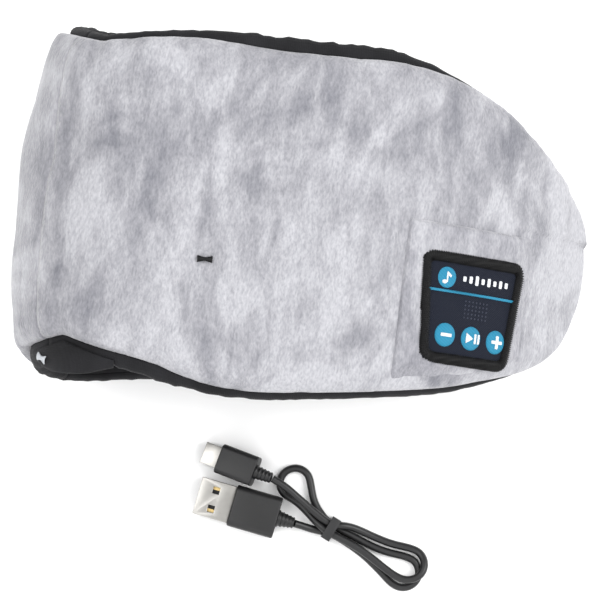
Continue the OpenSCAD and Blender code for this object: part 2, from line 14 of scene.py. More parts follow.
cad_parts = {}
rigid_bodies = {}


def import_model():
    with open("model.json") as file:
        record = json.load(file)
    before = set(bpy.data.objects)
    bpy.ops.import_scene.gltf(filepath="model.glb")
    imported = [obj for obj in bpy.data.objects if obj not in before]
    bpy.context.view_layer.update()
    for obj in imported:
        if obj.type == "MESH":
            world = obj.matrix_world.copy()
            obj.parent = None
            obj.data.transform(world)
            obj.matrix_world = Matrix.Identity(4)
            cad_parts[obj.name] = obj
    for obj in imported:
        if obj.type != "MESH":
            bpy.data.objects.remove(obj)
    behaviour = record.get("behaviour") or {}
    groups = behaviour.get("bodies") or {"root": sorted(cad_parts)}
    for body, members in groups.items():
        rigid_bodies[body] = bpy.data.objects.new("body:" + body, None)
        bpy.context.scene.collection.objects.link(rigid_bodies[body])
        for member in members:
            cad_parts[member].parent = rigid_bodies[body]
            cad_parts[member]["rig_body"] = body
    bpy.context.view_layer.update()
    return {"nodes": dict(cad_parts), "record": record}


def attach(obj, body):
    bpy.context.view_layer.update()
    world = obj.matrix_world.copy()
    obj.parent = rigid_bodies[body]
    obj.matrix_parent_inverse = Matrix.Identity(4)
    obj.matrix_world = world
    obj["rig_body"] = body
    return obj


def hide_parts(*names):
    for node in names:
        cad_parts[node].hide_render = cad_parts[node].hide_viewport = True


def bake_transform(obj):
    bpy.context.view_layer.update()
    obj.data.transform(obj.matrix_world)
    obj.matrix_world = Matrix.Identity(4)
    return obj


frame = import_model()

# The sizes below are in millimetres, as in the layout
MM = 0.001
# The frame's origin in the layout
LAYOUT_MID = (2.95, -2.55)
# The fold between the halves, and how far it is from the nose centre
FOLD_X = -82.2
FOLD_R = 35.0
FOLD_REACH = 32.0
# Each half's outer face, walked from the fold: (length, bend radius), 0 for straight
NEAR_BENDS = [(FOLD_R * math.pi / 2, FOLD_R), (57.5, 329), (62.2, 110), (21.4, 90), (60, 110)]
FAR_BENDS = [(FOLD_R * math.pi / 2, FOLD_R), (200, 0)]
NEAR_END = 215.6
FAR_END = -151.6
# Half the length of the piece that bends at the fold
FOLD_SPAN = 24.0
# Worn-up and worn-down edges of the plush, against distance from the nose centre
TOP_EDGE = [
    (0, 45.6), (34, 49.4), (60, 49), (83, 49.6), (97, 50.5), (119, 48.2), (140, 41.2),
    (161, 29.5), (172, 21), (179, 12), (182.5, 4.5), (184, -2.5),
]
BOTTOM_EDGE = [
    (0, -44.6), (14, -47.3), (30, -49.7), (47, -54), (62, -55), (84, -52.7), (124, -46.8),
    (141, -42.8), (162, -36.6), (174, -29.7), (180, -21), (183, -12.5), (184, -5.5),
]
# How far the black binding stands out past each edge
TOP_BINDING = [
    (0, 2.2), (34, 2.4), (50, 3.9), (83, 4.3), (97, 3.6), (110, 2), (119, 0.9), (130, 0.4), (184, 0.3),
]
BOTTOM_BINDING = [
    (0, 3.5), (14, 4), (34, 4.2), (47, 2.6), (62, 2.1), (124, 1.8), (141, 1.5), (162, 0.5), (184, 0.3),
]
# Free edge of the nose flap, against distance from the nose centre
FLAP_EDGE = [(-20, -51.5), (-12, -54.6), (-4, -56.1), (4, -56.1), (10, -55.5), (20, -53)]
# How far the plush face falls away at its edges
EDGE_DROP = 5.0
# Share of the edge drop at the fold and at the ear ends, where the plush is stretched flat
TAUT_SHARE = 0.45
TAUT_NEAR_FOLD = 40.0
TAUT_NEAR_EAR = 45.0
# How far the loop's fold bulges out at the middle of its height, how far along it fades, and
# the depth below the face that stays in place
FOLD_BULGE = 5.0
BULGE_REACH = 90.0
BULGE_DEPTH = 8.0
BULGE_HALF_H = 52.0
# How far the ear end is drawn out past its flat layout, and from where along the near half
EAR_STRETCH = 3.6
STRETCH_FROM = 150.0
# The faces are flat over this share of the half height
FLAT_SHARE = 0.8
# The pad tapers to this share of its depth at the ear ends
TIP_SHARE = 0.45
TAPER_FROM = 165.0
EAR_REACH = 184.0
PAD_T = 12.0

# Pocket and control patch, with distances from the fold
POCKET_LEFT = 137.5
POCKET_RIGHT = 186.0
POCKET_TOP = 3.7
CONTROL_E = 162.0
CONTROL_V = -22.0
PATCH_TOP_W = 39.0
PATCH_BOTTOM_W = 33.0
PATCH_H = 34.0
BORDER_W = 3.1
BUTTON_D = 7.4
BUTTON_PITCH = 9.6
BUTTON_ROW_Y = -8.2
PLAY_X = 1.2

CABLE_D = 2.4
# Middle line of the cable, from the USB-A relief through the hank to the micro-USB relief
CABLE_ROUTE = [
    (10.3, -93.2, 4.1), (13, -93.7, 3.2), (16, -94.3, 2.3), (19, -94.6, 2), (22, -94.9, 1.95),
    (28, -97.5, 1.5), (34, -100.9, 1.3), (40, -105.6, 1.3), (43, -108.1, 1.3),
    (46.5, -109.3, 1.3), (50, -107.8, 1.3), (51.5, -104.3, 1.3), (50, -100.8, 1.3),
    (46.5, -99.3, 1.3), (41, -98.7, 1.3), (35, -97.2, 1.3), (28, -94.5, 1.6), (22, -92.1, 1.95),
    (18.5, -89.3, 1.5), (15.6, -85.5, 1.3), (14, -80.6, 1.3), (12.5, -77.1, 1.3), (9, -75.6, 1.3),
    (5.5, -77.1, 1.3), (4, -80.6, 1.3), (5.5, -84.1, 1.3), (9, -85.7, 1.3), (12.5, -88, 1.7),
    (15.5, -90.6, 2.9), (18.5, -92.9, 4.2), (22, -94.9, 4.5), (28, -97.1, 4.1), (34, -99.9, 3.85),
    (40, -103.6, 3.85), (44.3, -105.9, 3.85), (47.8, -106.6, 3.85), (51.4, -105.1, 3.9),
    (52.9, -101.6, 3.3), (51.4, -98, 1.7), (47.8, -96.5, 1.3), (42, -95.9, 1.3), (36, -94.4, 1.5),
    (30, -92.5, 2.7), (26, -92, 4.2), (22, -92.1, 4.6), (18, -90, 5), (14, -87.4, 5.4),
    (10, -84.7, 6), (6, -82, 6.8), (1.75, -79.97, 7.37),
]
# Tangent at a point of the route, as a share of the chord between its neighbours
ROUTE_EASE = 0.56
# Each plug's origin in the layout, and its heading in degrees
USB_A_AT = (-10, -89.8, 4.1)
USB_A_TURN = -9.3
MICRO_AT = (-15.7, -75.6, 3.9)
MICRO_TURN = -14.0
MICRO_PITCH = -11.0
# How far past its plug's origin each strain relief starts
USB_A_GRIP = 15
MICRO_GRIP = 12.4
RELIEF_LENGTH = 5.4


# ---- Layout ----

def clamped(value, low=0.0, high=1.0):
    return min(high, max(low, value))


def span(start, stop, count):
    return [start + (stop - start) * i / count for i in range(count + 1)]


def circle_angles(count):
    return [2 * math.pi * k / count for k in range(count)]


def row(x, v, z):
    """A layout point in the row frame, in metres."""
    return Vector(((x - LAYOUT_MID[0]) * MM, (v - LAYOUT_MID[1]) * MM, z * MM))


def smooth(table, key):
    """Smooth value of a table of (key, value) pairs at a key."""
    last = len(table) - 1
    i = 0
    while i < last - 1 and key >= table[i + 1][0]:
        i += 1

    def slope(k):
        a, b = table[max(k - 1, 0)], table[min(k + 1, last)]
        return (b[1] - a[1]) / (b[0] - a[0])

    width = table[i + 1][0] - table[i][0]
    f = clamped((key - table[i][0]) / width)
    f2, f3 = f * f, f * f * f
    return (
        (2 * f3 - 3 * f2 + 1) * table[i][1] + (f3 - 2 * f2 + f) * width * slope(i)
        + (3 * f2 - 2 * f3) * table[i + 1][1] + (f3 - f2) * width * slope(i + 1)
    )


def face_at(bends, e):
    """Outer face at a distance from the fold: x, z and heading, as if it went over the top."""
    x, z, heading = FOLD_X, FOLD_R, math.pi / 2
    for length, radius in bends:
        step = min(e, length)
        if radius:
            turned = heading - step / radius
            x += radius * (math.sin(heading) - math.sin(turned))
            z -= radius * (math.cos(heading) - math.cos(turned))
            heading = turned
        else:
            x += step * math.cos(heading)
            z += step * math.sin(heading)
        e -= step
        if e <= 0:
            break
    return x, z, heading


def place(t, v, d):
    """A point of the mask. t is the distance from the fold, negative on the far half, v the
    worn-up height and d the depth below the outer face."""
    side = 1 if t >= 0 else -1
    x, z, heading = face_at(NEAR_BENDS if side > 0 else FAR_BENDS, abs(t))
    outer = max(0.0, 1 - max(0.0, d) / BULGE_DEPTH)
    across = 1 - (v / BULGE_HALF_H) ** 2
    x -= outer * FOLD_BULGE * across * max(0.0, 1 - abs(t) / BULGE_REACH) ** 2
    x += EAR_STRETCH * (max(0.0, t - STRETCH_FROM) / (NEAR_END - STRETCH_FROM)) ** 2
    return row(
        x + d * math.sin(heading), v, FOLD_R + side * (z - FOLD_R - d * math.cos(heading))
    )


def reach(t):
    """Distance from the nose centre."""
    return abs(t - FOLD_REACH)


def top_v(t):
    return smooth(TOP_EDGE, reach(t))


def bottom_v(t):
    return smooth(BOTTOM_EDGE, reach(t))


def level_v(t, level):
    """Height at a level, which is -1 at the worn-down edge and 1 at the worn-up edge."""
    return (top_v(t) + bottom_v(t)) / 2 + level * (top_v(t) - bottom_v(t)) / 2


def depth_share(t):
    """Share of the full depth that is left near an ear end."""
    f = clamped((reach(t) - TAPER_FROM) / (EAR_REACH - TAPER_FROM))
    return 1 - (1 - TIP_SHARE) * f * f


def edge_part(level):
    return max(0.0, abs(level) - FLAT_SHARE) / (1 - FLAT_SHARE)


def rolled(level):
    """0 over the flat middle of a face, rising to 1 at its edges as a round roll."""
    return 1 - math.sqrt(max(0.0, 1 - edge_part(level) ** 2))


def distance_at(x):
    """Distance from the fold of the near face above a layout x."""
    low, high = 30.0, NEAR_END
    for _ in range(30):
        mid = (low + high) / 2
        if face_at(NEAR_BENDS, mid)[0] < x:
            low = mid
        else:
            high = mid
    return low


# ---- Mesh helpers ----

def link(name, mesh):
    obj = bpy.data.objects.new(name, mesh)
    bpy.context.scene.collection.objects.link(obj)
    return obj


def mesh_object(name, points, faces, uvs=None):
    """Object from points and faces. uvs holds one pair for each point, in metres."""
    mesh = bpy.data.meshes.new(name)
    mesh.from_pydata([tuple(p) for p in points], [], faces)
    if uvs:
        layer = mesh.uv_layers.new(name="cloth")
        for loop in mesh.loops:
            layer.data[loop.index].uv = uvs[loop.vertex_index]
    mesh.validate()
    tidy = bmesh.new()
    tidy.from_mesh(mesh)
    bmesh.ops.recalc_face_normals(tidy, faces=tidy.faces)
    tidy.to_mesh(mesh)
    tidy.free()
    mesh.shade_smooth()
    return link(name, mesh)


def skin(rings, closed=False):
    """Points and faces over a row of equal rings, capped at both ends unless closed."""
    n = len(rings[0])
    count = len(rings)
    points = [p for ring in rings for p in ring]
    faces = []
    for j in range(count if closed else count - 1):
        here, ahead = j * n, (j + 1) % count * n
        for i in range(n):
            k = (i + 1) % n
            faces.append((here + i, here + k, ahead + k, ahead + i))
    if not closed:
        faces.append(tuple(range(n)))
        faces.append(tuple(range((count - 1) * n, count * n)))
    return points, faces


def sheet_shell(name, columns, rows, front, back, uv):
    """Closed shell between two grids. front, back and uv take a column and a row."""
    points, uvs = [], []
    for surface in (front, back):
        for c in columns:
            for r in rows:
                points.append(surface(c, r))
                uvs.append(uv(c, r))
    n, m = len(columns), len(rows)
    size = n * m
    faces = []
    for i in range(n - 1):
        for j in range(m - 1):
            a = i * m + j
            faces.append((a, a + 1, a + m + 1, a + m))
            faces.append((size + a, size + a + m, size + a + m + 1, size + a + 1))
    rim = [i * m for i in range(n)] + [(n - 1) * m + j for j in range(1, m)]
    rim += [i * m + m - 1 for i in range(n - 2, -1, -1)] + [j for j in range(m - 2, 0, -1)]
    for k, a in enumerate(rim):
        b = rim[(k + 1) % len(rim)]
        faces.append((a, b, size + b, size + a))
    return mesh_object(name, points, faces, uvs)


def tube_rings(path, radius, sides, up):
    """Rings round a path."""
    rings = []
    last = len(path) - 1
    for i, p in enumerate(path):
        ahead = (path[min(i + 1, last)] - path[max(i - 1, 0)]).normalized()
        across = up.cross(ahead).normalized()
        over = ahead.cross(across)
        rings.append([
            p + across * radius * math.cos(a) + over * radius * math.sin(a)
            for a in circle_angles(sides)
        ])
    return rings


def join_meshes(name, parts):
    """One object from several (points, faces) pairs."""
    points, faces = [], []
    for part_points, part_faces in parts:
        base = len(points)
        points += part_points
        faces += [tuple(base + i for i in face) for face in part_faces]
    return mesh_object(name, points, faces)


def refined(node, bevel, material, segments=3):
    """Copy of a CAD node with softened edges, which stands for it."""
    source = frame["nodes"][node]
    mesh = source.data.copy()
    mesh.materials.clear()
    soft = bmesh.new()
    soft.from_mesh(mesh)
    bmesh.ops.remove_doubles(soft, verts=soft.verts, dist=0.000002)
    bmesh.ops.dissolve_limit(
        soft, angle_limit=math.radians(1), verts=soft.verts, edges=soft.edges
    )
    sharp = [
        edge for edge in soft.edges
        if len(edge.link_faces) == 2 and edge.calc_face_angle() > math.radians(32)
    ]
    bmesh.ops.bevel(
        soft, geom=sharp, offset=bevel * MM, segments=segments, profile=0.5,
        affect="EDGES", clamp_overlap=True,
    )
    soft.to_mesh(mesh)
    soft.free()
    mesh.shade_smooth()
    mesh.set_sharp_from_angle(angle=math.radians(40))
    obj = link(node + "_piece", mesh)
    obj.data.materials.append(material)
    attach(obj, source["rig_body"])
    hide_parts(node)
    return obj


# ---- Materials ----

class Paint:
    """A material that is being built: a Principled shader and short ways to feed it."""

    def __init__(self, name, color, roughness, **sockets):
        self.material = bpy.data.materials.new(name)
        self.material.use_nodes = True
        self.nodes = self.material.node_tree.nodes
        self.links = self.material.node_tree.links
        self.shader = self.nodes["Principled BSDF"]
        self.set("Base Color", (*color, 1))
        self.set("Roughness", roughness)
        for socket, value in sockets.items():
            self.set(socket.replace("_", " "), value)
        self.bump_from = None

    def set(self, socket, value):
        self.shader.inputs[socket].default_value = value

    def node(self, kind, **inputs):
        made = self.nodes.new(kind)
        for name, value in inputs.items():
            socket = made.inputs[name.replace("_", " ")]
            if isinstance(value, bpy.types.NodeSocket):
                self.links.new(value, socket)
            else:
                socket.default_value = value
        return made

    def place(self, scale, turn=0.0, uv=False):
        """Texture coordinates: object space, or the cloth's own, scaled per axis."""
        if uv:
            source = self.nodes.new("ShaderNodeUVMap")
            source.uv_map = "cloth"
            vector = source.outputs["UV"]
        else:
            vector = self.nodes.new("ShaderNodeTexCoord").outputs["Object"]
        mapping = self.node("ShaderNodeMapping", Vector=vector, Scale=scale, Rotation=(0, 0, turn))
        return mapping.outputs["Vector"]

    def noise(self, scale, detail=3.0, stretch=(1, 1, 1), turn=0.0, uv=False, rough=0.55, twist=0.0):
        vector = self.place(stretch, turn, uv)
        made = self.node(
            "ShaderNodeTexNoise", Vector=vector, Scale=scale, Detail=detail, Roughness=rough,
            Distortion=twist,
        )
        return made.outputs["Fac"]

    def wave(self, scale, turn=0.0, uv=False, twist=0.0, detail=0.0):
        made = self.node(
            "ShaderNodeTexWave", Vector=self.place((1, 1, 1), turn, uv), Scale=scale,
            Distortion=twist, Detail=detail,
        )
        return made.outputs["Fac"]

    def ramp(self, fac, stops):
        made = self.node("ShaderNodeValToRGB", Fac=fac)
        elements = made.color_ramp.elements
        while len(elements) < len(stops):
            elements.new(0.5)
        for element, (position, color) in zip(elements, stops):
            element.position = position
            element.color = (*color, 1)
        return made.outputs["Color"]

    def mix(self, a, b, fac, mode="MIX"):
        made = self.nodes.new("ShaderNodeMix")
        made.data_type = "RGBA"
        made.blend_type = mode
        for index, value in ((0, fac), (6, a), (7, b)):
            socket = made.inputs[index]
            if isinstance(value, bpy.types.NodeSocket):
                self.links.new(value, socket)
            else:
                socket.default_value = value if index == 0 else (*value, 1)
        return made.outputs[2]

    def math(self, operation, a, b):
        made = self.nodes.new("ShaderNodeMath")
        made.operation = operation
        for socket, value in zip(made.inputs, (a, b)):
            if isinstance(value, bpy.types.NodeSocket):
                self.links.new(value, socket)
            else:
                socket.default_value = value
        return made.outputs[0]

    def color(self, socket):
        self.links.new(socket, self.shader.inputs["Base Color"])
        return self

    def rough(self, fac, low, high):
        made = self.node("ShaderNodeMapRange", Value=fac, To_Min=low, To_Max=high)
        self.links.new(made.outputs["Result"], self.shader.inputs["Roughness"])
        return self

    def bump(self, height, distance, strength=1.0):
        made = self.node("ShaderNodeBump", Height=height, Distance=distance, Strength=strength)
        if self.bump_from:
            self.links.new(self.bump_from, made.inputs["Normal"])
        self.bump_from = made.outputs["Normal"]
        self.links.new(self.bump_from, self.shader.inputs["Normal"])
        return self


def make_plush(name, light, mid, dark, nap_turn):
    """Short pile: mottled where the nap lies different ways, with fine speckle and streaks. The
    streaks and speckle also make the bump, so they are lighter on raised pile and darker between
    tufts: painted highlight and painted shade.
    """
    paint = Paint(name, light, 0.92, Sheen_Weight=0.35, Sheen_Roughness=0.45, Specular_IOR_Level=0.15)
    patches = paint.noise(34, 4, (1, 0.75, 1), nap_turn, rough=0.6, twist=0.9)
    streaks = paint.noise(150, 5, (1, 0.28, 1), nap_turn, rough=0.65, twist=0.4)
    speckle = paint.noise(1500, 2, (1, 0.45, 1), nap_turn)
    broad = paint.math("MULTIPLY", patches, 0.62)
    narrow = paint.math("MULTIPLY", streaks, 0.38)
    # The streaks also raise the bump, so the lighter colour they give is partly painted highlight on
    # raised pile
    blend = paint.math("ADD", broad, narrow)
    base = paint.ramp(blend, [(0.36, dark), (0.47, mid), (0.56, light), (0.7, light)])
    # The speckle also raises the bump: darker where it sinks is painted shade between tufts, lighter
    # where it rises painted highlight
    shade = paint.ramp(speckle, [(0.3, (0.78, 0.79, 0.8)), (0.7, (1.08, 1.08, 1.08))])
    paint.color(paint.mix(base, shade, 1.0, "MULTIPLY"))
    paint.bump(streaks, 0.0012, 0.35)
    paint.bump(speckle, 0.0007, 0.55)
    return paint.material


def make_knit(name, color, sheen=0.04):
    """Smooth fine knit: rows of loops about half a millimetre apart."""
    paint = Paint(name, color, 0.8, Sheen_Weight=sheen, Sheen_Roughness=0.4, Specular_IOR_Level=0.2)
    loops = paint.wave(560, 0.0, uv=True, twist=0.6, detail=1)
    ribs = paint.wave(420, math.pi / 2, uv=True, twist=0.4)
    lint = paint.noise(90, 4)
    tone = tuple(c * 2.2 for c in color)
    paint.color(paint.ramp(lint, [(0.35, color), (0.75, tone)]))
    paint.bump(loops, 0.00018, 0.5)
    paint.bump(ribs, 0.00012, 0.4)
    return paint.material


def make_thread(name, color, turn=0.0, pitch=900):
    """Satin thread laid side by side, lighter on each thread's crown and darker in the grooves between
    threads: painted highlight and painted shade that follow the bump.
    """
    paint = Paint(name, color, 0.6, Sheen_Weight=0.04, Sheen_Roughness=0.35, Specular_IOR_Level=0.2)
    lay = paint.wave(pitch, turn, twist=1.2, detail=2)
    lint = paint.noise(700, 3)
    # lay also makes the bump: dark is painted shade in the grooves between threads, bright is painted
    # highlight on their crowns
    dark = tuple(c * 0.62 for c in color)
    bright = tuple(min(1.0, c * 1.18) for c in color)
    paint.color(paint.ramp(lay, [(0.15, dark), (0.6, color), (0.95, bright)]))
    paint.rough(lint, 0.42, 0.62)
    paint.bump(lay, 0.00015, 0.6)
    return paint.material


def make_twill(name, color):
    """Diagonal weave, lighter on its raised lines and darker between them: painted highlight and
    painted shade that follow the bump.
    """
    paint = Paint(name, color, 0.8, Sheen_Weight=0.03, Sheen_Roughness=0.4, Specular_IOR_Level=0.15)
    lines = paint.wave(620, math.radians(45), uv=True, twist=0.3)
    weft = paint.wave(900, 0.0, uv=True, twist=0.5)
    # tone is painted highlight on the raised lines of the weave; the base colour between them stands
    # for shade
    tone = tuple(c * 2.2 + 0.002 for c in color)
    paint.color(paint.ramp(lines, [(0.2, color), (0.8, tone)]))
    paint.bump(lines, 0.00022, 0.7)
    paint.bump(weft, 0.0001, 0.5)
    return paint.material


def make_plastic(name, color, roughness, grain=700, depth=0.00006):
    """Moulded plastic or rubber with a fine grain and faint scuffs."""
    paint = Paint(name, color, roughness, Specular_IOR_Level=0.45)
    grit = paint.noise(grain * 3, 2)
    scuff = paint.noise(60, 5, rough=0.7)
    tone = tuple(min(1.0, c * 1.5 + 0.002) for c in color)
    paint.color(paint.ramp(scuff, [(0.45, color), (0.8, tone)]))
    paint.rough(scuff, roughness - 0.08, roughness + 0.1)
    paint.bump(grit, depth, 0.5)
    return paint.material


def make_metal(name, color, roughness):
    """Brushed plated metal."""
    paint = Paint(name, color, roughness, Metallic=1.0)
    brushed = paint.noise(260, 4, (1, 14, 14), rough=0.6)
    smear = paint.noise(120, 3)
    dark = tuple(c * 0.86 for c in color)
    paint.color(paint.ramp(smear, [(0.35, dark), (0.65, color)]))
    paint.rough(brushed, roughness - 0.06, roughness + 0.12)
    paint.bump(brushed, 0.00003, 0.3)
    return paint.material


def make_ribbed(name, color, pitch=520, turn=0.0):
    """Woven elastic, with ribs along its length, lighter on their crests and darker between them:
    painted highlight and painted shade that follow the bump.
    """
    paint = Paint(name, color, 0.8, Sheen_Weight=0.15, Specular_IOR_Level=0.25)
    ribs = paint.wave(pitch, turn, twist=0.3)
    cross = paint.wave(900, turn + math.pi / 2, twist=0.4)
    # tone is painted highlight on the rib crests; the base colour between them stands for shade
    tone = tuple(c * 2.2 + 0.004 for c in color)
    paint.color(paint.ramp(ribs, [(0.2, color), (0.8, tone)]))
    paint.bump(ribs, 0.0003, 0.7)
    paint.bump(cross, 0.00015, 0.5)
    return paint.material


def make_pile(name, color, scale=1600):
    """Dense little loops or hooks, lighter where the bump stands up and darker between: painted
    highlight and painted shade.
    """
    paint = Paint(name, color, 0.9, Sheen_Weight=0.3, Specular_IOR_Level=0.2)
    dots = paint.noise(scale, 3)
    # tone is painted highlight on the raised loops or hooks; the base colour between them stands for
    # shade
    tone = tuple(c * 2.5 + 0.01 for c in color)
    paint.color(paint.ramp(dots, [(0.35, color), (0.7, tone)]))
    paint.bump(dots, 0.0005, 0.9)
    return paint.material


plush_paint = make_plush(
    "plush", (0.37, 0.368, 0.39), (0.27, 0.268, 0.288), (0.165, 0.166, 0.186), math.radians(-30)
)
pocket_paint = make_plush(
    "pocket_plush", (0.36, 0.358, 0.38), (0.26, 0.258, 0.28), (0.16, 0.16, 0.18), math.radians(40)
)
knit_paint = make_knit("black_knit", (0.006, 0.006, 0.007))
border_paint = make_thread("black_overlock", (0.0045, 0.0045, 0.005), 0.4, 700)
light_thread_paint = make_thread("light_thread", (0.5, 0.52, 0.55))
dark_thread_paint = make_thread("black_thread", (0.005, 0.005, 0.006))
twill_paint = make_twill("navy_twill", (0.004, 0.0055, 0.011))
blue_paint = make_thread("sky_blue_thread", (0.018, 0.2, 0.33), math.radians(60), 800)
white_paint = make_thread("white_thread", (0.66, 0.68, 0.7), math.radians(20), 900)
dot_paint = make_thread("dot_thread", (0.03, 0.035, 0.055))
rubber_paint = make_plastic("cable_rubber", (0.004, 0.004, 0.0045), 0.45)
cable_paint = make_plastic("cable_sleeve", (0.004, 0.004, 0.0045), 0.42, 500)
steel_paint = make_metal("nickel_shell", (0.4, 0.39, 0.37), 0.28)
gold_paint = make_metal("gold_contact", (0.83, 0.62, 0.28), 0.25)
tongue_paint = make_plastic("tongue", (0.02, 0.02, 0.022), 0.5)
case_paint = make_plastic("case_plastic", (0.03, 0.03, 0.033), 0.55)
board_paint = make_plastic("solder_mask", (0.01, 0.11, 0.04), 0.35)
cell_paint = make_plastic("cell_foil", (0.5, 0.52, 0.55), 0.35)
chip_paint = make_plastic("chip", (0.015, 0.015, 0.016), 0.5)
lens_paint = make_plastic("led_lens", (0.85, 0.85, 0.8), 0.2)
cone_paint = make_plastic("speaker_film", (0.08, 0.08, 0.09), 0.4)
lead_paint = make_plastic("lead_insulation", (0.3, 0.03, 0.03), 0.4)
elastic_paint = make_ribbed("elastic_webbing", (0.012, 0.012, 0.014), 520, math.pi / 2)
hook_paint = make_pile("hook_tape", (0.012, 0.012, 0.013), 1200)
loop_paint = make_pile("loop_pile", (0.02, 0.02, 0.022), 1900)
foam_paint = make_pile("foam", (0.7, 0.67, 0.55), 900)
tie_paint = make_plastic("tie_wire", (0.006, 0.006, 0.007), 0.5)

SLOT_PAINTS = {
    "plush": plush_paint, "foam": foam_paint, "black_knit": knit_paint,
    "light_thread": light_thread_paint, "black_thread": dark_thread_paint,
    "navy_twill": twill_paint, "sky_blue_thread": blue_paint, "button_blue": blue_paint,
    "white_print": white_paint, "case_plastic": case_paint, "circuit_board": board_paint,
    "cell_wrap": cell_paint, "chip_black": chip_paint, "plated_steel": steel_paint,
    "brass": gold_paint, "led_lens": lens_paint, "speaker_plastic": case_paint,
    "speaker_cone": cone_paint, "lead_insulation": lead_paint, "elastic_webbing": elastic_paint,
    "hook_tape": hook_paint, "loop_pile": loop_paint, "tongue_plastic": tongue_paint,
    "cable_rubber": rubber_paint, "tie_wire": tie_paint,
}


def paint_nodes():
    """Every CAD node gets the procedural material of its slot."""
    for part in frame["record"]["subparts"]:
        mesh = frame["nodes"][part["node"]].data
        mesh.materials.clear()
        mesh.materials.append(SLOT_PAINTS[part["material_slot"]])


def finish_piece(obj, paint, body=None, nodes=()):
    """Gives a piece its material, the body it rides and the CAD nodes it stands for."""
    obj.data.materials.append(paint)
    if body:
        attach(obj, body)
    if nodes:
        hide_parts(*nodes)
    return obj


# ---- Camera, floor and light ----

CAMERA_TURN = math.radians(7)
CAMERA_RISE = math.radians(87)
CAMERA_DISTANCE = 1.14
CAMERA_LENS = 225.72
SENSOR_W = 36
AIM = Vector((0.0008, -0.02295, 0.06))
FLOOR_HALF = 3
# Each light: name, place, watts and side
LIGHTS = [
    ("key", (0.75, 0.15, 0.8), 9.0, 0.6),
    ("left_fill", (-0.6, 0.1, 1.0), 6.5, 0.8),
    ("front_fill", (0.0, -0.8, 0.7), 3.0, 0.9),
]
LIGHT_TARGET = (0, -0.02, 0.02)
SKY_STRENGTH = 1.05


def make_camera():
    data = bpy.data.cameras.new("camera")
    data.sensor_width = SENSOR_W
    data.lens = CAMERA_LENS
    data.clip_start = 0.05
    data.clip_end = 20
    camera = bpy.data.objects.new("camera", data)
    bpy.context.scene.collection.objects.link(camera)
    up = Vector((-math.sin(CAMERA_TURN), math.cos(CAMERA_TURN), 0))
    back = Vector((0, 0, 1)) * math.sin(CAMERA_RISE) - up * math.cos(CAMERA_RISE)
    across = Vector((math.cos(CAMERA_TURN), math.sin(CAMERA_TURN), 0))
    axes = Matrix((across, back.cross(across), back)).transposed()
    camera.matrix_world = Matrix.Translation(AIM + back * CAMERA_DISTANCE) @ axes.to_4x4()
    bpy.context.scene.camera = camera


def make_area_light(name, location, energy, size):
    data = bpy.data.lights.new(name, "AREA")
    data.energy = energy
    data.size = size
    lamp = bpy.data.objects.new(name, data)
    bpy.context.scene.collection.objects.link(lamp)
    lamp.location = location
    aim = Vector(LIGHT_TARGET) - Vector(location)
    lamp.rotation_euler = aim.to_track_quat("-Z", "Y").to_euler()


def make_stage():
    w = FLOOR_HALF
    floor = mesh_object("floor", [(-w, -w, 0), (w, -w, 0), (w, w, 0), (-w, w, 0)], [(0, 1, 2, 3)])
    floor_paint = Paint("floor", (0.93, 0.93, 0.93), 0.9, Specular_IOR_Level=0.1)
    floor.data.materials.append(floor_paint.material)
    world = bpy.data.worlds.new("world")
    bpy.context.scene.world = world
    world.use_nodes = True
    sky = world.node_tree.nodes["Background"]
    sky.inputs["Color"].default_value = (1, 1, 1, 1)
    sky.inputs["Strength"].default_value = SKY_STRENGTH
    for light in LIGHTS:
        make_area_light(*light)
    bpy.context.scene.view_settings.view_transform = "Standard"


make_camera()
make_stage()
paint_nodes()


# ---- Charging lead ----

SMOOTHING_PASSES = 6
RELIEF_RINGS = 40
RELIEF_SIDES = 24
# The collar and the ribs, as shares of the relief's length
COLLAR_TO = 0.08
RIBS_TO = 0.97
RIB_WAVES = 4.5
RIB_RISE = 0.22
# How much the relief's narrow end stands out from the cable
RELIEF_WALL = 0.35


def cable_path():
    """The cable's middle line: a smooth curve through the route, eased so that bends stay round."""
    route = [row(*p) for p in CABLE_ROUTE]
    last = len(route) - 1
    dense = []
    for i in range(last):
        a = (route[i + 1] - route[max(i - 1, 0)]) * ROUTE_EASE
        b = (route[min(i + 2, last)] - route[i]) * ROUTE_EASE
        for f in span(0, 1, 6)[:-1]:
            f2, f3 = f * f, f * f * f
            dense.append(
                (2 * f3 - 3 * f2 + 1) * route[i] + (f3 - 2 * f2 + f) * a
                + (3 * f2 - 2 * f3) * route[i + 1] + (f3 - f2) * b
            )
    dense.append(route[last])
    for _ in range(SMOOTHING_PASSES):
        inner = [
            (dense[i - 1] + dense[i] * 2 + dense[i + 1]) / 4 for i in range(1, len(dense) - 1)
        ]
        dense = [dense[0]] + inner + [dense[-1]]
    return dense


def plug_frame(at, turn, pitch):
    """Row-frame matrix of a plug: X runs from its metal mouth to its cable."""
    turned = Matrix.Rotation(math.radians(turn), 4, "Z")
    pitched = Matrix.Rotation(math.radians(pitch), 4, "Y")
    return Matrix.Translation(row(*at)) @ turned @ pitched


def make_relief(node, axes, start, first_d, collar):
    """Tapered strain relief with a collar and moulded ribs."""
    rings = []
    for i in range(RELIEF_RINGS + 1):
        f = i / RELIEF_RINGS
        x = start + RELIEF_LENGTH * f
        r = (first_d / 2) * (1 - f) + (CABLE_D / 2 + RELIEF_WALL) * f
        if COLLAR_TO < f < RIBS_TO:
            r += RIB_RISE * max(0.0, math.sin(f * RIB_WAVES * 2 * math.pi))
        if f < COLLAR_TO:
            r += collar
        rings.append([
            axes @ Vector((x * MM, r * math.cos(a) * MM, r * math.sin(a) * MM))
            for a in circle_angles(RELIEF_SIDES)
        ])
    obj = mesh_object(node + "_piece", *skin(rings))
    return finish_piece(obj, rubber_paint, "charging_lead", [node])


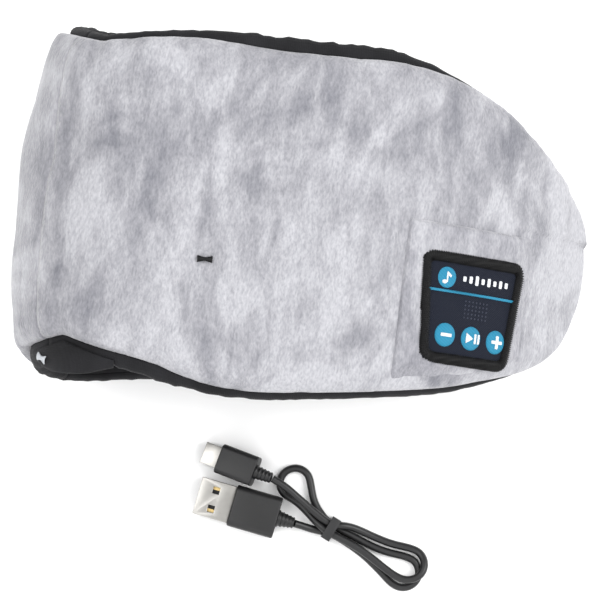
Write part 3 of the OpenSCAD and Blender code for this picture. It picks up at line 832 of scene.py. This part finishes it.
def make_lead():
    path = cable_path()
    curve = bpy.data.curves.new("charging_cable_piece", "CURVE")
    curve.dimensions = "3D"
    curve.bevel_depth = CABLE_D / 2 * MM
    curve.bevel_resolution = 6
    curve.use_fill_caps = True
    spline = curve.splines.new("POLY")
    spline.points.add(len(path) - 1)
    for point, p in zip(spline.points, path):
        point.co = (*p, 1)
    spline.use_smooth = True
    cable = link("charging_cable_piece", curve)
    finish_piece(cable, cable_paint, "charging_lead", ["charging_cable"])

    usb_a = plug_frame(USB_A_AT, USB_A_TURN, 0)
    micro = plug_frame(MICRO_AT, MICRO_TURN, MICRO_PITCH)
    pieces = [
        refined("usb_a_shell", 0.22, steel_paint),
        refined("usb_a_overmould", 0.5, rubber_paint, 4),
        refined("micro_usb_shell", 0.3, steel_paint),
        refined("micro_usb_overmould", 0.5, rubber_paint, 4),
        refined("cable_tie", 0.12, tie_paint),
        refined("usb_a_tongue", 0.1, tongue_paint),
        refined("micro_usb_tongue", 0.05, tongue_paint),
        make_relief("usb_a_relief", usb_a, USB_A_GRIP, 5, 0.3),
        make_relief("micro_usb_relief", micro, MICRO_GRIP, 4.2, 0.25),
        frame["nodes"]["usb_a_contacts"],
    ]


make_lead()


# ---- Soft shells ----

# Creases in the near face: from (x, height) to (x, height), depth and half width
CREASES = [
    (-24.5, -18.5, -11.5, -37, 1.1, 3.2),
    (-27.5, -16.5, -36, -12, 0.5, 3.0),
    (6, 43, 20, 31, 1.0, 3.6),
    (20, 42, 36, 22, 0.9, 4.2),
    (-6, 45, 4, 36, 0.8, 3.4),
    (33, 38, 44, 27, 0.7, 4.0),
    (-58, 42, -50, 22, 0.6, 5.0),
    (-70, 20, -62, -8, 0.6, 6.0),
    (29, -47, 34, -36, 1.0, 2.6),
    (36, -45, 37, -38, 0.9, 2.2),
    (22, -48, 25, -36, 0.7, 3.0),
    (-4, -50, 2, -38, 0.5, 3.2),
    (-44, -46, -36, -34, 0.6, 3.4),
    (74, 20, 80, 4, 0.6, 4.0),
    (60, 34, 66, 20, 0.5, 4.4),
]
CREASE_GAIN = 1.5
CREASE_LINES = [
    (distance_at(x0), v0, distance_at(x1), v1, depth, width)
    for x0, v0, x1, v1, depth, width in CREASES
]
# A crease keeps this share of its depth at its far end, and the plush stands up on both sides
CREASE_TAIL = 0.4
CREASE_RIDGE = 0.35
TACK_T = distance_at(-26)
TACK_V = -17.2
TACK_DENT_R = 3.2
# How far in from an edge the gathers reach
GATHER_REACH = 7.0
# The near face rises and dips at most this far
RISE_LIMIT = -1.2
DIP_LIMIT = 2.1
# The least dip under the pocket panel
POCKET_DIP = 0.4


def crease_depth(t, v):
    """How far the near face dips at a point: listed creases, gathers and soft waves."""
    depth = 0.0
    for t0, v0, t1, v1, deep, width in CREASE_LINES:
        along = Vector((t1 - t0, v1 - v0))
        rel = Vector((t - t0, v - v0))
        f = clamped(rel.dot(along) / along.length_squared)
        away = (rel - along * f).length
        fade = 1 - (1 - CREASE_TAIL) * f
        valley = math.exp(-((away / width) ** 2))
        ridge = CREASE_RIDGE * math.exp(-((away / width / 2) ** 2))
        depth += CREASE_GAIN * deep * fade * (valley - ridge)
    tack = math.hypot(t - TACK_T, (v - TACK_V) * 1.6)
    depth += math.exp(-((tack / TACK_DENT_R) ** 2))
    edge = min(top_v(t) - v, v - bottom_v(t))
    gather = math.exp(-max(0.0, edge) / GATHER_REACH)
    ripple = noise.noise(Vector((t * 0.16, 3.7 if v > 0 else 9.1, 0.2)))
    fine = noise.noise(Vector((t * 0.42, 1.3 if v > 0 else 5.5, 4.2)))
    depth += gather * (1.5 * ripple + 0.7 * fine)
    wave = noise.noise(Vector((t * 0.035, v * 0.045, 1.9)))
    lumps = noise.noise(Vector((t * 0.09, v * 0.11, 7.7)))
    return depth + 1.1 * wave + 0.45 * lumps


def edge_drop(t):
    """Depth of the rolled edge along a half: full in the middle, less where it is stretched."""
    near_fold = min(1.0, abs(t) / TAUT_NEAR_FOLD)
    near_ear = clamped((EAR_REACH - reach(t)) / TAUT_NEAR_EAR)
    return EDGE_DROP * (TAUT_SHARE + (1 - TAUT_SHARE) * min(near_fold, near_ear))


def plush_front(t, level):
    """Outer face of the plush. The far half lies on the table, so only its edges are creased."""
    share = depth_share(t)
    v = level_v(t, level)
    drop = edge_drop(t) * rolled(level) * share
    if t < 0:
        return place(t, v, drop + 0.05 + max(0.0, 0.35 * crease_depth(t, v)) * edge_part(level))
    dip = clamped(crease_depth(t, v), RISE_LIMIT, DIP_LIMIT) * min(1.0, share + 0.2)
    if t > POCKET_LEFT - 3 and v < POCKET_TOP + 2:
        dip = max(dip, POCKET_DIP)
    return place(t, v, drop + dip)


def plush_back(t, level):
    return place(t, level_v(t, level) * 0.985, (3.6 + 4.4 * rolled(level)) * depth_share(t))


def lining_front(t, level):
    return place(t, level_v(t, level) * 0.99, (10.1 - 1.4 * rolled(level)) * depth_share(t))


def lining_back(t, level):
    ripple = 0.35 * noise.noise(Vector((t * 0.12, level * 4, 2.2)))
    return place(t, level_v(t, level), (PAD_T - 1.5 * rolled(level) + ripple) * depth_share(t))


def cloth_uv(t, level):
    return (t * MM, level_v(t, level) * MM)


def level_rows(count):
    """Levels from -1 to 1, closer together at the rolled edges."""
    turn = 0.46 * math.pi
    return [math.sin(turn * f) / math.sin(turn) for f in span(-1, 1, count)]


def station_columns(start, stop, pitch):
    """Stations between two distances, closer together towards an ear end."""
    count = max(6, round(abs(stop - start) / pitch))
    plain = span(start, stop, count)
    end = NEAR_END if stop > 0 else FAR_END
    if stop != end:
        return plain
    extra = [end - math.copysign(step, end) for step in TIP_STEPS]
    kept = [t for t in plain if abs(t - end) > 6]
    return kept + extra + [end]


# Distances from an ear end of the last stations
TIP_STEPS = (5.2, 3.9, 2.9, 2.1, 1.4, 0.9, 0.5, 0.25)
# Distances from the fold at which each piece starts and stops
SECTIONS = {
    "near": (FOLD_SPAN, NEAR_END),
    "fold": (-FOLD_SPAN, FOLD_SPAN),
    "far": (-FOLD_SPAN, FAR_END),
}


def attach_section(obj, section):
    """A near or far piece rides its half; a fold piece has its transform baked into its mesh and rides
    no body.
    """
    if section == "fold":
        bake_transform(obj)
    else:
        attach(obj, section + "_half")


def make_shells():
    """Plush cover and knit lining, each in a near, a fold and a far piece."""
    for section, (start, stop) in SECTIONS.items():
        pitch = 1.5 if section == "near" else 2.5
        rows = level_rows(84 if section == "near" else 44)
        cover = sheet_shell(
            section + "_plush", station_columns(start, stop, pitch), rows,
            plush_front, plush_back, cloth_uv,
        )
        finish_piece(cover, plush_paint)
        lining = sheet_shell(
            section + "_lining_cloth", station_columns(start, stop, 3.5), level_rows(30),
            lining_front, lining_back, cloth_uv,
        )
        finish_piece(lining, knit_paint)
        if section != "fold":
            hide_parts(section + "_front_cover")
            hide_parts(section + "_lining")
        attach_section(cover, section)
        attach_section(lining, section)


# Section of the rolled edge: share of its width past the plush, and depth below the face
BINDING_SECTION = [
    (-0.5, 5.3), (0.12, 5.0), (0.42, 5.15), (0.72, 5.7), (0.93, 6.6), (1.0, 7.7), (0.95, 8.8),
    (0.78, 9.8), (0.5, 10.5), (0.15, 10.8), (-0.5, 10.7), (-0.6, 8.0),
]


def make_binding(section, edge_name, sign, edge_at, table):
    """Knit rolled out past one edge. sign is 1 for the worn-up edge and -1 for the other."""
    start, stop = SECTIONS[section]
    rings, uvs = [], []
    for t in station_columns(start, stop, 2.0):
        share = depth_share(t)
        pucker = 1 + 0.16 * noise.noise(Vector((t * 0.35, sign * 3.0, 0.4)))
        out = (smooth(table, reach(t)) + 0.15) * pucker
        edge = edge_at(t)
        ring = []
        for q, (over, depth) in enumerate(BINDING_SECTION):
            beyond = out * over if over > 0 else 2.2 * over
            ring.append(place(t, edge + sign * beyond, depth * share))
            uvs.append((t * MM, q * 1.1 * MM))
        rings.append(ring)
    points, faces = skin(rings)
    obj = mesh_object(f"{section}_{edge_name}_roll", points, faces, uvs)
    finish_piece(obj, knit_paint)
    if section != "fold":
        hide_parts(f"{section}_{edge_name}_binding")
    attach_section(obj, section)


def make_bindings():
    for section in SECTIONS:
        make_binding(section, "top", 1, top_v, TOP_BINDING)
        make_binding(section, "bottom", -1, bottom_v, BOTTOM_BINDING)


# Depths of the nose flap's two faces
FLAP_FRONT = 4.5
FLAP_BACK = 6.7


def make_nose_flap():
    """Soft lobe that hangs under the nose notch."""
    start, stop = FOLD_REACH + FLAP_EDGE[0][0], FOLD_REACH + FLAP_EDGE[-1][0]

    def height(t, f):
        root = bottom_v(t) - smooth(BOTTOM_BINDING, reach(t)) + 1.6
        free = smooth(FLAP_EDGE, t - FOLD_REACH)
        return root + (free - root) * f

    def rounding(f):
        return 0.9 * (1 - math.sqrt(max(0, 1 - f ** 4)))

    def front(t, f):
        return place(t, height(t, f), FLAP_FRONT + rounding(f))

    def back(t, f):
        return place(t, height(t, f), FLAP_BACK - rounding(f))

    flap = sheet_shell(
        "nose_flap_lobe", span(start, stop, 34), span(0, 1, 12), front, back,
        lambda t, f: (t * MM, height(t, f) * MM),
    )
    finish_piece(flap, knit_paint, "near_half", ["nose_flap"])


TACK_STITCHES = 13


def make_bar_tack(name, t, v, lift, length, end_h, waist, turn, paint, node):
    """Bow-tie bar tack: a row of close cross stitches, short in the middle."""
    parts = []
    for i in range(TACK_STITCHES):
        f = i / (TACK_STITCHES - 1) * 2 - 1
        half_h = (waist + (end_h - waist) * abs(f) ** 1.3) / 2
        path = []
        for g in span(-1, 1, 6):
            x, y = f * length / 2, g * half_h
            along = x * math.cos(turn) - y * math.sin(turn)
            up = x * math.sin(turn) + y * math.cos(turn)
            arch = 0.35 * math.sqrt(max(0, 1 - g * g))
            path.append(place(t + along, v + up, -(lift + arch)))
        thread_r = length / TACK_STITCHES * 0.62 * MM
        rings = tube_rings(path, thread_r, 8, Vector((0.3, 0, 1)))
        parts.append(skin(rings))
    tack = join_meshes(name, parts)
    finish_piece(tack, paint, "near_half", [node])


make_shells()
make_bindings()
make_nose_flap()
make_bar_tack(
    "front_bar_tack", TACK_T, TACK_V, -0.5, 4.2, 1.9, 0.9, 0.05, dark_thread_paint,
    "front_tack",
)
make_bar_tack(
    "flap_bar_tack", 21.5, -52.3, -4.2, 4.8, 2.4, 1.0, -0.24, light_thread_paint,
    "nose_flap_tack",
)


# ---- Pocket and control patch ----

# The panel rises over this distance from a seam, from below the plush to above it
SEAM_ROLL = 1.8
SEAM_SINK = 0.7
PANEL_RISE = 1.9
# Height of the patch's cloth above the plush
PANEL_LIFT = 1.1
# The cloth ends this far inside the patch's rim, under the border
PANEL_INSET = 1.2
CORNER_R = 3.4
BORDER_PITCH = 0.16
STITCH_PITCH = 0.62
BORDER_SIDES = 14
BORDER_RISE = 1.15


def make_pocket():
    """Plush panel sewn round the patch, rolled under along its top and left seams."""

    def height(e, f):
        low = level_v(e, -0.93)
        return low + (POCKET_TOP - low) * f

    def lift(e, f):
        """How far the panel stands off the plush: sunk at its seams and flat under the patch."""
        near_seam = min(e - POCKET_LEFT, (1 - f) * 40, 12.0)
        fade = clamped((POCKET_RIGHT - e) / 9) * min(1.0, f * 9)
        roll = math.sqrt(max(0.0, 1 - (1 - clamped(near_seam / SEAM_ROLL)) ** 2))
        x, y = e - CONTROL_E, height(e, f) - CONTROL_V
        if abs(y) < PATCH_H / 2 - 1 and abs(x) < half_width(y) - 1:
            return 0.0
        return -SEAM_SINK + PANEL_RISE * roll * fade

    def face_drop(e, v):
        level = (v - level_v(e, 0)) / (top_v(e) - level_v(e, 0))
        return edge_drop(e) * rolled(level)

    def front(e, f):
        v = height(e, f)
        soft = 0.25 * noise.noise(Vector((e * 0.2, v * 0.2, 3.1)))
        return place(e, v, face_drop(e, v) - lift(e, f) - soft)

    def back(e, f):
        v = height(e, f)
        return place(e, v, face_drop(e, v) + 1.4)

    columns = span(POCKET_LEFT, POCKET_LEFT + 4, 8) + span(POCKET_LEFT + 5, POCKET_RIGHT, 34)
    rows = span(0, 0.88, 34) + span(0.9, 1, 8)
    pocket = sheet_shell(
        "pocket_plush_panel", columns, rows, front, back,
        lambda e, f: (e * MM, height(e, f) * MM),
    )
    finish_piece(pocket, pocket_paint, "near_half", ["pocket_panel"])


def half_width(y):
    """Half the patch's width at a height above its middle."""
    f = y / PATCH_H + 0.5
    return (PATCH_BOTTOM_W + (PATCH_TOP_W - PATCH_BOTTOM_W) * f) / 2


def patch_point(x, y, lift):
    """A point on the patch: x along and y up from its middle, lifted off the plush."""
    return place(CONTROL_E + x, CONTROL_V + y, -lift)


def rounded_corners(corners, radius, pitch):
    """Closed outline through corners, each rounded by an arc."""
    outline = []
    n = len(corners)
    for i in range(n):
        here = Vector(corners[i])
        before = (Vector(corners[i - 1]) - here).normalized()
        after = (Vector(corners[(i + 1) % n]) - here).normalized()
        for f in span(0, 1, 8):
            a, b = here + before * radius * (1 - f), here + after * radius * f
            outline.append(a * (1 - f) + b * f)
    dense = []
    for i, p in enumerate(outline):
        q = outline[(i + 1) % len(outline)]
        steps = max(1, round((q - p).length / pitch))
        dense += [p + (q - p) * k / steps for k in range(steps)]
    return dense


def make_patch_panel():
    def point(a, b, lift):
        y = b * (PATCH_H / 2 - PANEL_INSET)
        return patch_point(a * (half_width(y) - PANEL_INSET), y, lift)

    panel = sheet_shell(
        "patch_panel", span(-1, 1, 44), span(-1, 1, 40),
        lambda a, b: point(a, b, PANEL_LIFT + 0.12 * noise.noise(Vector((a * 3, b * 3, 1)))),
        lambda a, b: point(a, b, 0.2),
        lambda a, b: (a * PATCH_TOP_W / 2 * MM, b * PATCH_H / 2 * MM),
    )
    finish_piece(panel, twill_paint, "near_half", ["control_patch"])


def make_patch_border():
    """Overlocked edge: thread wrapped over the patch's rim in close slanted stitches."""
    inset = BORDER_W / 2
    top = PATCH_TOP_W / 2 - inset
    bottom = PATCH_BOTTOM_W / 2 - inset
    half_h = PATCH_H / 2 - inset
    corners = [(-bottom, -half_h), (bottom, -half_h), (top, half_h), (-top, half_h)]
    path = rounded_corners(corners, CORNER_R, BORDER_PITCH)
    count = len(path)
    stitches = round(count * BORDER_PITCH / STITCH_PITCH)
    rings = []
    for i, p in enumerate(path):
        ahead = (path[(i + 1) % count] - path[i - 1]).normalized()
        out = Vector((ahead.y, -ahead.x))
        ring = []
        for k, angle in enumerate(circle_angles(BORDER_SIDES)):
            phase = 2 * math.pi * (i / count * stitches) + 1.3 * math.cos(angle)
            swell = 1 + 0.2 * math.sin(phase) + 0.05 * noise.noise(Vector((i * 0.05, k * 0.3, 0)))
            side = out * math.cos(angle) * inset * swell
            lift = PANEL_LIFT - 0.1 + math.sin(angle) * BORDER_RISE * swell
            ring.append(patch_point(p.x + side.x, p.y + side.y, lift))
        rings.append(ring)
    border = mesh_object("patch_overlock", *skin(rings, closed=True))
    finish_piece(border, border_paint, "near_half", ["patch_border"])


def disc_parts(cx, cy, radius, lift, height, sides=48, rings_count=7):
    """A low embroidered disc, domed, with a stitched rim."""
    rings = []
    for j in range(rings_count + 1):
        f = j / rings_count
        r = radius * math.cos(f * math.pi / 2 * 0.98)
        up = lift + height * math.sin(f * math.pi / 2) ** 0.6
        ring = []
        for k, a in enumerate(circle_angles(sides)):
            stitch = 1 + 0.012 * (k % 2) * (1 - f)
            ring.append(patch_point(cx + r * stitch * math.cos(a), cy + r * stitch * math.sin(a), up))
        rings.append(ring)
    return skin(rings)


# How a raised shape closes over: share of its height and of its outline
BLOCK_STEPS = ((0, 1.0), (0.6, 1.0), (0.9, 0.93), (1, 0.8))


def block_parts(outline, lift, height):
    """A raised satin-stitched shape over an outline of (x, y) points."""
    mx = sum(p[0] for p in outline) / len(outline)
    my = sum(p[1] for p in outline) / len(outline)
    rings = []
    for up, shrink in BLOCK_STEPS:
        rings.append([
            patch_point(mx + (x - mx) * shrink, my + (y - my) * shrink, lift + height * up)
            for x, y in outline
        ])
    return skin(rings)


def bar(cx, cy, width, height):
    """Outline of a small bar with rounded corners."""
    r = min(width, height) * 0.3
    w, h = width / 2, height / 2
    corners = [(cx - w, cy - h), (cx + w, cy - h), (cx + w, cy + h), (cx - w, cy + h)]
    return [tuple(p) for p in rounded_corners(corners, r, 0.4)]


ICON_LINE = 1.05
ICON_RISE = 0.4
PRINT_RISE = 0.35
BADGE_AT = (-10, 9.3)
BADGE_R = 3.3
RULE_Y = 5.2
RULE_HALF_W = 0.4
LEVEL_HEIGHTS = (1.6, 2.2, 3.0, 1.8, 2.6, 1.7, 2.4, 1.8)
LEVEL_PITCH = 2.3
DOT_COLUMNS = 7
DOT_ROWS = 5


def button_icon(name, x, y):
    """Outlines of a button's white sign, round the middle of its disc."""
    if name == "minus":
        return [bar(x, y, 3.9, ICON_LINE)]
    if name == "plus":
        return [bar(x, y, 4.1, ICON_LINE), bar(x, y, ICON_LINE, 4.1)]
    arrow = [
        (x - 2.3, y - 1.6), (x - 1.0, y - 0.85), (x + 0.3, y), (x - 1.0, y + 0.85), (x - 2.3, y + 1.6),
    ]
    return [arrow, bar(x + 1.05, y, 0.7, 3.1), bar(x + 2.3, y, 0.7, 3.0)]


def make_buttons():
    """Three domed discs, each with its sign, that ride on their own bodies."""
    for index, name in ((-1, "minus"), (0, "play"), (1, "plus")):
        x, y = PLAY_X + index * BUTTON_PITCH, BUTTON_ROW_Y
        body = name + "_button"
        disc = join_meshes(name + "_disc", [disc_parts(x, y, BUTTON_D / 2, PANEL_LIFT - 0.4, 1.2)])
        finish_piece(disc, blue_paint, body, [name + "_button"])
        icon = join_meshes(
            name + "_icon_stitch",
            [block_parts(s, PANEL_LIFT + 0.6, ICON_RISE) for s in button_icon(name, x, y)],
        )
        finish_piece(icon, white_paint, body, [name + "_icon"])


def make_note_badge():
    """Round badge with a musical note: its head, stem and flag."""
    badge = join_meshes("note_badge_stitch", [disc_parts(*BADGE_AT, BADGE_R, PANEL_LIFT - 0.2, 0.55)])
    finish_piece(badge, blue_paint, "near_half", ["note_badge"])
    head = [
        (-10.9 + 0.85 * math.cos(a), 7.9 + 0.65 * math.sin(a))
        for a in span(0, 2 * math.pi, 12)[:-1]
    ]
    stem = bar(-10.1, 9.4, 0.5, 3.2)
    flag = [(-10.2, 11.2), (-10.2, 10.2), (-8.9, 9.3), (-8.6, 10.0)]
    note = join_meshes(
        "note_icon_stitch", [block_parts(s, PANEL_LIFT + 0.15, ICON_RISE) for s in (head, stem, flag)]
    )
    finish_piece(note, white_paint, "near_half", ["note_icon"])


def make_rule():
    """Blue line across the patch, a little fuller in its middle."""
    ends, middle = (-17, 17), (-6, 6)
    low, high = RULE_Y - RULE_HALF_W, RULE_Y + RULE_HALF_W
    outline = [
        (ends[0], low - 0.05), (middle[0], low), (middle[1], low), (ends[1], low - 0.05),
        (ends[1], high - 0.05), (middle[1], high), (middle[0], high), (ends[0], high - 0.05),
    ]
    rule = join_meshes("rule_stitch", [block_parts(outline, PANEL_LIFT, 0.5)])
    finish_piece(rule, blue_paint, "near_half", ["patch_rule"])


def make_level_bars():
    """Plain white level bars beside the badge, and faint stitched dots over the microphone."""
    levels = join_meshes("level_bars_stitch", [
        block_parts(bar(-3.6 + LEVEL_PITCH * i, 9.6, 1.15, h), PANEL_LIFT - 0.1, PRINT_RISE)
        for i, h in enumerate(LEVEL_HEIGHTS)
    ])
    finish_piece(levels, white_paint, "near_half")
    dots = join_meshes("speaker_dots", [
        disc_parts(-2.2 + 1.35 * i, 2.9 - 1.25 * j, 0.33, PANEL_LIFT - 0.05, 0.16, 8, 2)
        for i in range(DOT_COLUMNS) for j in range(DOT_ROWS)
    ])
    finish_piece(dots, dot_paint, "near_half")


make_pocket()
make_patch_panel()
make_patch_border()
make_buttons()
make_note_badge()
make_rule()
make_level_bars()


# ---- Closure ----

for node, bevel, paint in (
    ("strap_elastic", 0.3, elastic_paint), ("strap_tail", 0.4, elastic_paint),
    ("hook_tape", 0.25, hook_paint), ("loop_panel", 0.25, loop_paint),
):
    refined(node, bevel, paint)
